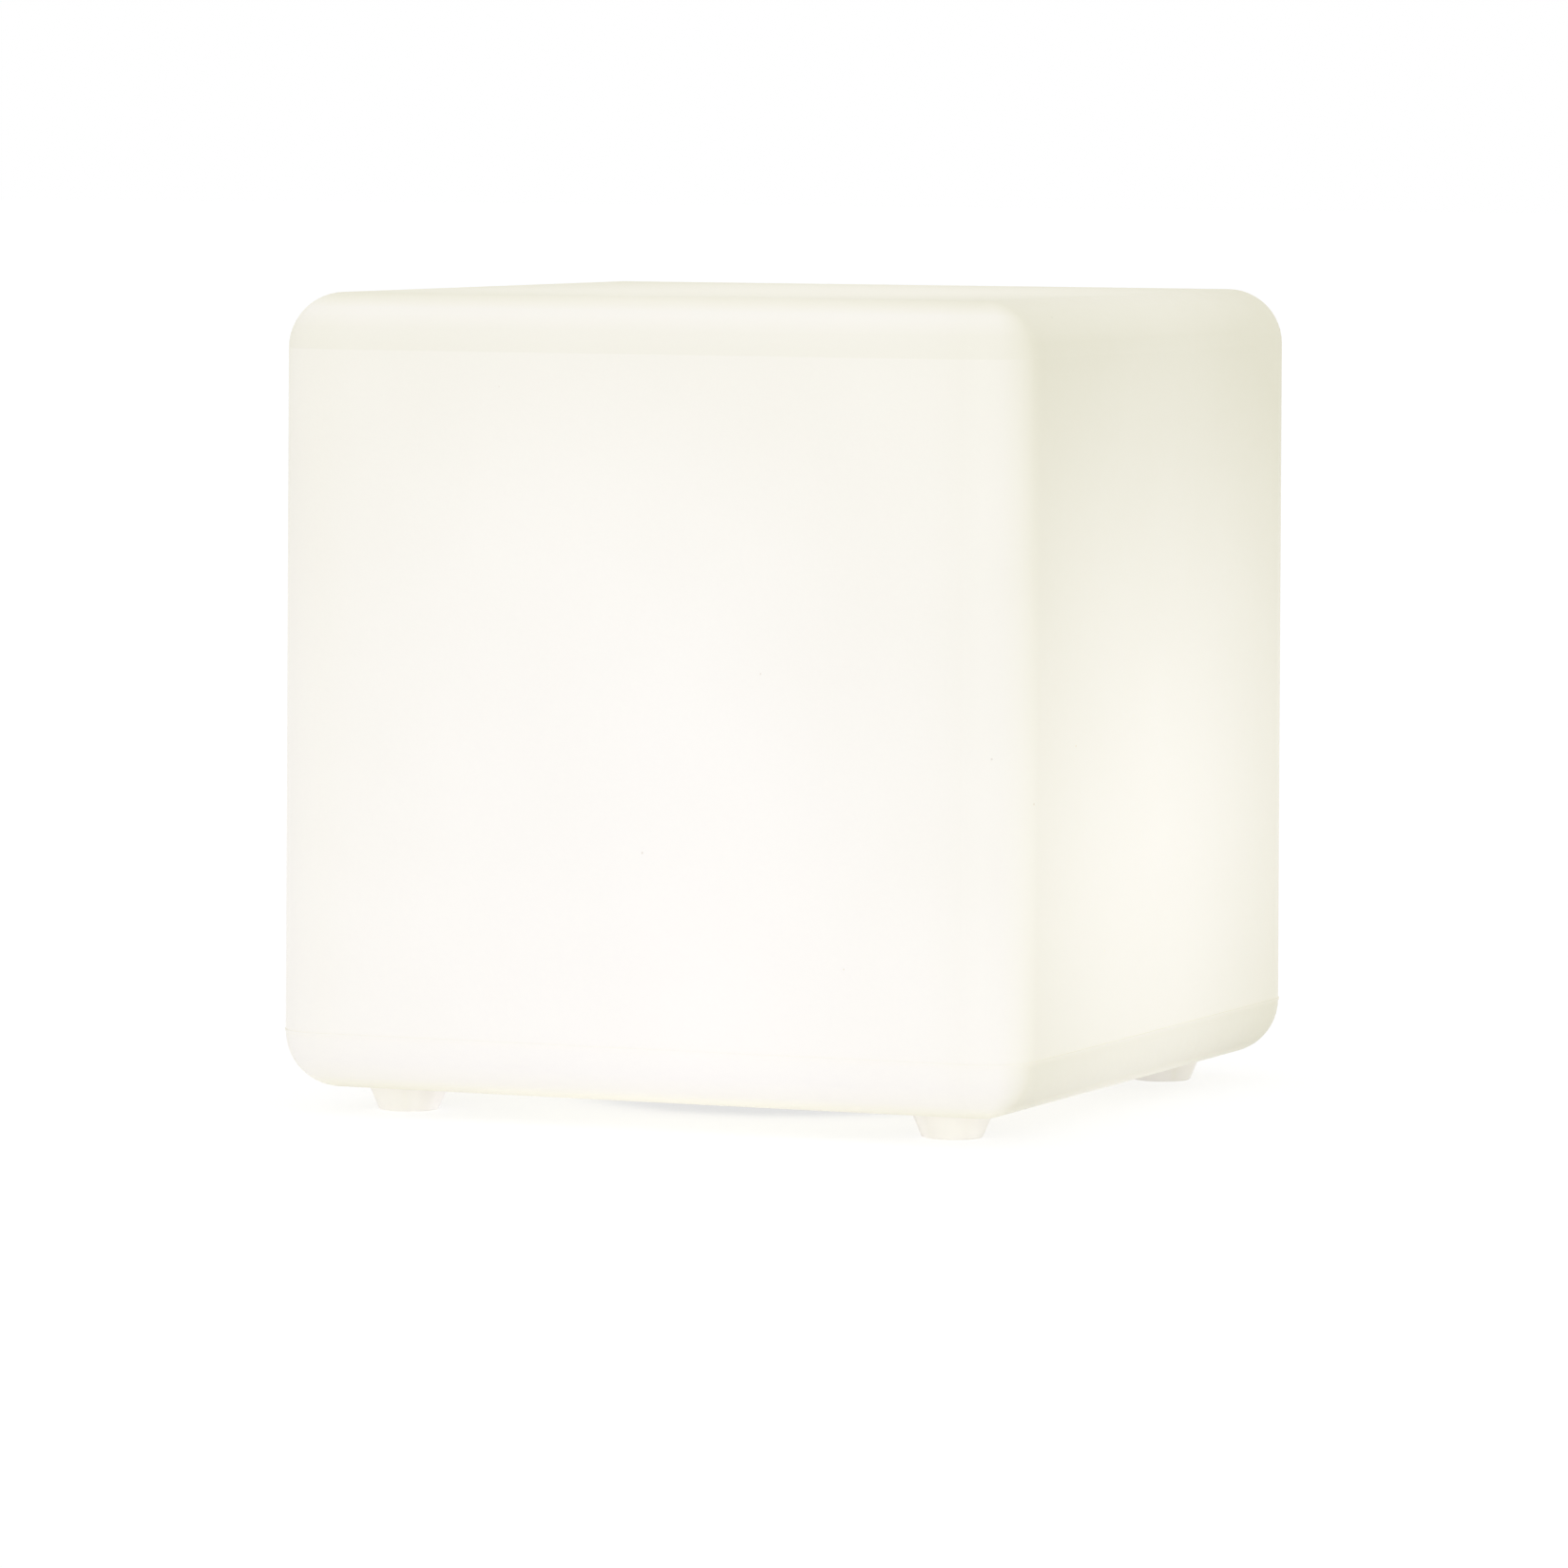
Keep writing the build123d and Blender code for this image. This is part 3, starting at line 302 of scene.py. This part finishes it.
def shell_finish():
    """Off-white polyethylene, lit from inside, with painted light and shade in its glow, a soft ripple and
    a few dark specks in it.
    """
    f = Finish("lit_polyethylene")
    mottle_scale, wave_scale, gloss_scale, grain_scale = 9.0, 55.0, 240.0, 420.0
    mottle = f.ranged(f.noise(mottle_scale, 3.0), 0.35, 0.65)
    skin = f.mixed(mottle, opaque(SKIN_DARK), opaque(SKIN_LIGHT))
    nearest = f.node("ShaderNodeTexVoronoi", {"Vector": f.place(), "Scale": 1 / SPECK_SPACING})
    reach = SPECK_RADIUS / SPECK_SPACING
    speck = f.ranged(nearest.outputs["Distance"], 0.5 * reach, reach, 1.0, 0.0)
    colour, strength = shell_light(f)
    ripple = f.total((1.0, f.noise(wave_scale, 2.0)), (0.35, f.noise(grain_scale, 2.0)))
    f.set(
        Base_Color=f.mixed(speck, skin, opaque(SPECK_COLOUR)),
        Roughness=f.ranged(f.noise(gloss_scale, 2.0), 0.3, 0.7, 0.42, 0.52),
        Specular_IOR_Level=0.2,
        Emission_Color=colour,
        Emission_Strength=strength,
        Normal=f.bumped(ripple, 0.25, 0.0006),
    )
    return f.material


def plain_finish(name, colour, roughness, grain=300.0, depth=0.0001, metallic=0.0, spread=0.025, **more):
    """Moulded, sheet or turned stock: its colour and roughness vary a little, over a fine grain."""
    f = Finish(name)
    lighter = tuple(min(1.0, c * (1 + spread)) for c in colour)
    darker = tuple(c * (1 - spread) for c in colour)
    cloud = f.noise(grain / 12, 3.0)
    fine = f.noise(grain, 3.0)
    f.set(
        Base_Color=f.mixed(f.ranged(cloud, 0.3, 0.7), opaque(darker), opaque(lighter)),
        Roughness=f.ranged(fine, 0.25, 0.75, max(0.03, roughness - 0.06), roughness + 0.06),
        Metallic=metallic,
        Normal=f.bumped(fine, 0.3, depth),
        **more,
    )
    return f.material


def rubber_finish(name, colour, spread=0.03):
    """Soft moulded rubber: dull, with a dusty bloom that lightens it in patches of a few millimetres."""
    f = Finish(name)
    bloom = f.ranged(f.noise(160.0, 4.0, 0.65), 0.45, 0.75)
    fine = f.noise(900.0, 2.0)
    dusty = tuple(min(1.0, c * (1 + spread) + 0.03) for c in colour)
    f.set(
        Base_Color=f.mixed(bloom, opaque(colour), opaque(dusty)),
        Roughness=f.ranged(bloom, 0.0, 1.0, 0.58, 0.76),
        Normal=f.bumped(fine, 0.35, 0.00006),
        Sheen_Weight=0.15,
    )
    return f.material


def circuit_finish(name, mask, track, pitch=0.0025):
    """Solder mask over copper: bands of the distance to the nearest of scattered points, measured along
    the board's sides, so that the tracks under the mask run and turn square, a little raised."""
    f = Finish(name)
    cells = f.node(
        "ShaderNodeTexVoronoi", {"Vector": f.place(), "Scale": 0.16 / pitch}, distance="CHEBYCHEV"
    )
    bands = f.maths("FRACT", f.maths("MULTIPLY", cells.outputs["Distance"], 6.0))
    tracks = f.maths("MULTIPLY", f.ranged(bands, 0.30, 0.36), f.ranged(bands, 0.70, 0.64))
    f.set(
        Base_Color=f.mixed(tracks, opaque(mask), opaque(track)),
        Roughness=f.ranged(f.noise(500.0, 2.0), 0.3, 0.7, 0.26, 0.36),
        Normal=f.bumped(tracks, 0.4, 0.00004),
        Coat_Weight=0.2,
    )
    return f.material


def glowing_finish(name, colour, light, strength, roughness):
    """Something that the lamps shine through: its own light is a little patchy, as frosting is."""
    f = Finish(name)
    patch = f.noise(60.0, 3.0)
    fine = f.noise(1400.0, 2.0)
    darker = tuple(0.96 * c for c in colour)
    f.set(
        Base_Color=f.mixed(f.ranged(patch, 0.3, 0.7), opaque(colour), opaque(darker)),
        Roughness=f.ranged(fine, 0.3, 0.7, roughness - 0.05, roughness + 0.05),
        Emission_Color=opaque(light),
        Emission_Strength=f.ranged(patch, 0.3, 0.7, 0.9 * strength, 1.1 * strength),
        Normal=f.bumped(fine, 0.3, 0.00003),
    )
    return f.material


FINISHES = {
    "shell": shell_finish(),
    "brass": plain_finish("turned_brass", (0.78, 0.60, 0.28), 0.3, 900.0, 0.00003, 1.0),
    "base": plain_finish("grained_white_plastic", (0.83, 0.83, 0.80), 0.5, 700.0, 0.00008),
    "rubber_grey": rubber_finish("grey_rubber", (0.22, 0.22, 0.23), 0.12),
    "rubber_light": rubber_finish("pale_silicone", (0.70, 0.70, 0.67)),
    "steel": plain_finish("zinc_plated_steel", (0.62, 0.62, 0.63), 0.32, 1200.0, 0.00002, 1.0),
    "frosted": glowing_finish("frosted_plastic", (0.80, 0.80, 0.78), (1.0, 0.96, 0.88), 0.22, 0.55),
    "lamp_board": circuit_finish("white_board", (0.83, 0.83, 0.81), (0.76, 0.77, 0.75)),
    "led": glowing_finish("lit_lamp", (0.80, 0.76, 0.60), (1.0, 0.95, 0.82), 0.3, 0.3),
    "black_plastic": plain_finish("black_plastic", (0.03, 0.03, 0.033), 0.45, 600.0),
    "green_board": circuit_finish("green_board", (0.012, 0.12, 0.045), (0.03, 0.22, 0.08)),
    "white_plastic": plain_finish("white_plastic", (0.80, 0.80, 0.77), 0.4, 600.0),
    "tin": plain_finish("tinned_metal", (0.70, 0.70, 0.68), 0.3, 900.0, 0.00003, 1.0),
    "cell_wrap": plain_finish("blue_shrink_wrap", (0.03, 0.10, 0.40), 0.3, 120.0, 0.00005, Coat_Weight=0.3),
    "clear": plain_finish("clear_rod", (0.85, 0.87, 0.87), 0.12, 300.0, 0.00001, Transmission_Weight=0.6),
    "capacitor": plain_finish("capacitor_sleeve", (0.03, 0.035, 0.06), 0.3, 300.0, Coat_Weight=0.3),
    "button": plain_finish("smooth_white_plastic", (0.80, 0.80, 0.78), 0.3, 500.0, 0.00004),
    "lead_red": plain_finish("red_insulation", (0.50, 0.02, 0.015), 0.4, 500.0),
    "lead_black": plain_finish("black_insulation", (0.02, 0.02, 0.02), 0.4, 500.0),
    "lead_white": plain_finish("white_insulation", (0.78, 0.78, 0.75), 0.4, 500.0),
}

for part in frame["record"]["subparts"]:
    body = nodes[part["node"]]
    body.data.materials.clear()
    body.data.materials.append(FINISHES[part["material_slot"]])


# ------------------------------------------------------------------ skins worked out on grids
def closed_skin(rings):
    """Corners and faces of a skin over rings of points, one row of the grid for each ring.

    Each ring joins the next one with quads, the last column joins the first, and the first and last
    rings shrink to single points. The faces are turned so that the volume they hold is positive.
    """
    rows, columns = rings.shape[:2]
    corners = np.vstack([rings[:1].mean(axis=1), rings[1:-1].reshape(-1, 3), rings[-1:].mean(axis=1)])
    row, column = np.meshgrid(np.arange(rows - 3), np.arange(columns), indexing="ij")
    after = (column + 1) % columns
    here, there = 1 + row * columns, 1 + (row + 1) * columns
    quads = np.stack([here + column, here + after, there + after, there + column], axis=-1).reshape(-1, 4)
    around, next_round = np.arange(columns), (np.arange(columns) + 1) % columns
    last = 1 + (rows - 3) * columns
    first_fan = np.stack([np.zeros(columns, int), 1 + next_round, 1 + around], axis=-1)
    last_fan = np.stack([np.full(columns, len(corners) - 1), last + around, last + next_round], axis=-1)
    triangles = np.vstack([first_fan, last_fan, quads[:, [0, 1, 2]], quads[:, [0, 2, 3]]])
    a, b, c = (corners[triangles[:, k]] for k in range(3))
    if np.einsum("ij,ij->i", a, np.cross(b, c)).sum() < 0:
        quads, first_fan, last_fan = quads[:, ::-1], first_fan[:, ::-1], last_fan[:, ::-1]
    return corners, quads.tolist() + first_fan.tolist() + last_fan.tolist()


def add_piece(name, skins, slot, body, crease=35.0):
    """One object from several skins, smooth but for the edges that turn by more than the crease."""
    corners, faces, used = [], [], 0
    for skin_corners, skin_faces in skins:
        corners.append(skin_corners)
        faces.extend([[used + corner for corner in face] for face in skin_faces])
        used += len(skin_corners)
    mesh = bpy.data.meshes.new(name)
    mesh.from_pydata(np.vstack(corners).tolist(), [], faces)
    mesh.shade_smooth()
    mesh.set_sharp_from_angle(angle=math.radians(crease))
    mesh.materials.append(FINISHES[slot])
    piece = bpy.data.objects.new(name, mesh)
    bpy.context.collection.objects.link(piece)
    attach(piece, body)
    return piece


def eased(value):
    """0 below 0, 1 above 1, and three squares less two cubes between."""
    value = np.clip(value, 0.0, 1.0)
    return value * value * (3 - 2 * value)


def turned(radii, levels, columns):
    """Radius, angle and level of the points of a profile that is carried round an upright axis."""
    angle = np.linspace(0, 2 * np.pi, columns, endpoint=False)
    radius, angle = np.meshgrid(radii, angle, indexing="ij")
    return radius, angle, np.repeat(np.asarray(levels)[:, None], columns, axis=1)


def screw_skin(x, y, turn):
    """A pan-head screw with its head down and a cross recess in the face.

    The head's face rises with the square of the radius and rolls over a quarter ellipse into its side.
    The cross is the larger of two bars, each an eased step across its width times a fall along its
    length, and it sinks the face by that share of its depth. The shank's radius swings with the cosine
    of the angle less the level over the pitch, which winds one thread up it.
    """
    face_share, crown_share, roll_share = 0.78, 0.06, 0.45
    tip, tip_share, fillet = 0.0006, 0.6, 0.0002
    face = np.linspace(0, face_share, 26) * SCREW_HEAD_RADIUS
    roll = np.linspace(0, np.pi / 2, 9)[1:]
    height = SCREW_SEAT - SCREW_FACE
    shank = np.linspace(SCREW_SEAT, SCREW_TIP - tip, 44)
    crown = SCREW_FACE + crown_share * height * (face / face[-1]) ** 2
    radii = np.concatenate(
        [
            face,
            face[-1] + (SCREW_HEAD_RADIUS - face[-1]) * np.sin(roll),
            [SCREW_HEAD_RADIUS, SCREW_SHANK_RADIUS + fillet],
            np.full(len(shank), SCREW_SHANK_RADIUS),
            [tip_share * SCREW_SHANK_RADIUS, 0.0],
        ]
    )
    levels = np.concatenate(
        [
            crown,
            crown[-1] + roll_share * height * (1 - np.cos(roll)),
            [SCREW_SEAT, SCREW_SEAT],
            shank,
            [SCREW_TIP, SCREW_TIP],
        ]
    )
    radius, angle, level = turned(radii, levels, 60)
    thread = np.zeros(len(radii))
    thread[-len(shank) - 2 : -2] = SCREW_THREAD_DEPTH * eased(np.linspace(0, 6, len(shank)))
    wave = 0.5 - 0.5 * np.cos(angle - 2 * np.pi * level / SCREW_THREAD_PITCH)
    radius = radius - thread[:, None] * wave
    along, across = np.abs(radius * np.cos(angle)), np.abs(radius * np.sin(angle))

    def bar(length, width):
        ends = eased((CROSS_REACH - length) / CROSS_SLOPE)
        return ends * eased((CROSS_WIDTH / 2 - width) / CROSS_WALL + 0.5)

    in_face = (np.arange(len(radii)) < len(face))[:, None]
    level = level + in_face * CROSS_DEPTH * np.maximum(bar(along, across), bar(across, along))
    return closed_skin(
        np.stack([x + radius * np.cos(angle + turn), y + radius * np.sin(angle + turn), level], axis=-1)
    )


def button_skin():
    """The button's cap: a dish that deepens as the square of one less the squared radius, a rim that
    rolls over a quarter circle into the side, and the flange inside the plate."""
    edge, bevel = 0.0009, 0.0002
    dish = np.linspace(0, 1, 22) * (BUTTON_RADIUS - edge)
    roll = np.linspace(0, np.pi / 2, 9)[1:]
    sunk = BUTTON_DISH * (1 - (dish / dish[-1]) ** 2) ** 2
    radii = np.concatenate(
        [
            dish,
            BUTTON_RADIUS - edge + edge * np.sin(roll),
            [BUTTON_RADIUS, BUTTON_FLANGE - bevel, BUTTON_FLANGE],
            [BUTTON_FLANGE, BUTTON_FLANGE - bevel, 0.0],
        ]
    )
    levels = np.concatenate(
        [
            BUTTON_FACE + sunk,
            BUTTON_FACE + edge * (1 - np.cos(roll)),
            [BUTTON_SHOULDER, BUTTON_SHOULDER, BUTTON_SHOULDER + bevel],
            [BUTTON_TOP - bevel, BUTTON_TOP, BUTTON_TOP],
        ]
    )
    radius, angle, level = turned(radii, levels, 72)
    return closed_skin(
        np.stack([BUTTON_X + radius * np.cos(angle), radius * np.sin(angle), level], axis=-1)
    )


def grip_skin(x):
    """A ridge across the flap's tab: an ellipse across, half of it sunk in the flap, whose width and
    height both fall off towards the ends as the root of one less the fourth power of the place along."""
    along = np.linspace(-1, 1, 25)
    angle = np.linspace(0, 2 * np.pi, 24, endpoint=False)
    along, angle = np.meshgrid(along, angle, indexing="ij")
    fall = np.sqrt(np.clip(1 - along**4, 0, 1))
    return closed_skin(
        np.stack(
            [
                x + fall * GRIP_WIDTH / 2 * np.cos(angle),
                along * GRIP_LENGTH / 2,
                FLAP_FACE - fall * GRIP_HEIGHT * np.sin(angle),
            ],
            axis=-1,
        )
    )


def ring_skin():
    """A raised ring round the flap's middle: half an ellipse carried round an upright axis. From each of
    its two edges a flat disc inside the flap runs in to the axis and closes the skin."""
    angle = np.linspace(0, np.pi, 17)
    radii = np.concatenate([[0.0], FLAP_RING_RADIUS - FLAP_RING_WIDTH / 2 * np.cos(angle), [0.0]])
    levels = np.concatenate([[0.0], FLAP_FACE - FLAP_RING_RISE * np.sin(angle), [0.0]])
    levels[:2], levels[-2:] = FLAP_FACE + FLAP_RING_FOOT, FLAP_FACE + FLAP_RING_SEAT
    radius, angle, level = turned(radii, levels, 72)
    return closed_skin(
        np.stack([FLAP_X + radius * np.cos(angle), radius * np.sin(angle), level], axis=-1)
    )


def screw_at(around):
    """The screw at an angle round the circle, with its cross turned by a share of that angle."""
    x, y = SCREW_CIRCLE * math.cos(around), SCREW_CIRCLE * math.sin(around)
    return screw_skin(x, y, FIRST_HEAD_TURN + HEAD_TURN_SHARE * around)


screw_places = 2 * np.pi * np.arange(SCREW_COUNT) / SCREW_COUNT
heads = add_piece("cross_head_screws", [screw_at(around) for around in screw_places], "steel", "housing")
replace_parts(heads, "base_screws")
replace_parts(add_piece("dished_button", [button_skin()], "button", "power_button"), "button_cap")
add_piece("flap_ridges", [ring_skin()] + [grip_skin(x) for x in GRIP_PLACES], "rubber_light", "flap")


# ------------------------------------------------------------------ floor, world, lamps, camera
def seen_directly(tree):
    """1 for what the camera sees itself, in metal or through something clear, and 0 for other light."""
    path = tree.nodes.new("ShaderNodeLightPath")
    socket = path.outputs["Is Camera Ray"]
    for other in ("Is Glossy Ray", "Is Transmission Ray"):
        either = tree.nodes.new("ShaderNodeMath")
        either.operation = "MAXIMUM"
        tree.links.new(socket, either.inputs[0])
        tree.links.new(path.outputs[other], either.inputs[1])
        socket = either.outputs[0]
    return socket


def floor_finish():
    """Plain white. To the camera it is lit white, less the shade that the object casts on it, and its
    underside is clear, so that the object's base shows from below."""
    f = Finish("white_floor")
    path = seen_directly(f.tree)
    f.set(Base_Color=f.mixed(path, opaque(FLOOR_COLOUR), opaque(FLOOR_SHADED)), Roughness=0.9)
    f.set(Specular_IOR_Level=0.0, Emission_Color=opaque((1.0, 1.0, 1.0)))
    f.set(Emission_Strength=f.maths("MULTIPLY", path, FLOOR_LIGHT))
    under = f.node("ShaderNodeNewGeometry").outputs["Backfacing"]
    clear = f.node("ShaderNodeBsdfTransparent").outputs["BSDF"]
    sides = f.node("ShaderNodeMixShader", {0: under, 1: f.shader.outputs["BSDF"], 2: clear})
    f.put(f.tree.nodes["Material Output"].inputs["Surface"], sides.outputs["Shader"])
    return f.material


def add_floor():
    """A wide flat sheet just under the feet."""
    signs = ((-1, -1), (1, -1), (1, 1), (-1, 1))
    corners = [(x * FLOOR_REACH, y * FLOOR_REACH, FLOOR_LEVEL) for x, y in signs]
    sheet = bpy.data.meshes.new("floor")
    sheet.from_pydata(corners, [], [(0, 1, 2, 3)])
    sheet.materials.append(floor_finish())
    floor = bpy.data.objects.new("floor", sheet)
    bpy.context.collection.objects.link(floor)


def add_world(level):
    """Even white surroundings: pure white to the camera, and level for the light that they give."""
    world = bpy.data.worlds.new("studio")
    bpy.context.scene.world = world
    world.use_nodes = True
    tree = world.node_tree
    background = tree.nodes["Background"]
    background.inputs["Color"].default_value = (1, 1, 1, 1)
    choose = tree.nodes.new("ShaderNodeMix")
    choose.data_type = "FLOAT"
    choose.inputs[2].default_value = level
    choose.inputs[3].default_value = 1.0
    tree.links.new(seen_directly(tree), choose.inputs[0])
    tree.links.new(choose.outputs[0], background.inputs["Strength"])


def add_lamp(name, place, aim, size, power, colour):
    light = bpy.data.lights.new(name, "AREA")
    light.shape = "SQUARE"
    light.size = size
    light.energy = power
    light.color = colour
    lamp = bpy.data.objects.new(name, light)
    bpy.context.collection.objects.link(lamp)
    turn = (Vector(place) - Vector(aim)).to_track_quat("Z", "Y")
    lamp.matrix_world = Matrix.Translation(place) @ turn.to_matrix().to_4x4()


def add_camera():
    view = bpy.data.cameras.new("photograph")
    view.sensor_width = SENSOR_WIDTH
    view.lens = CAMERA_LENS
    camera = bpy.data.objects.new("photograph", view)
    bpy.context.collection.objects.link(camera)
    camera.matrix_world = (
        Matrix.Translation(CAMERA_PLACE)
        @ Matrix.Rotation(math.radians(CAMERA_HEADING), 4, "Z")
        @ Matrix.Rotation(math.radians(90 + CAMERA_PITCH), 4, "X")
        @ Matrix.Rotation(math.radians(CAMERA_ROLL), 4, "Z")
    )
    bpy.context.scene.camera = camera


add_floor()
add_world(WORLD_LIGHT)
add_lamp("key", KEY_PLACE, KEY_AIM, KEY_SIZE, KEY_POWER, KEY_COLOUR)
add_camera()
bpy.context.scene.view_settings.view_transform = "Standard"
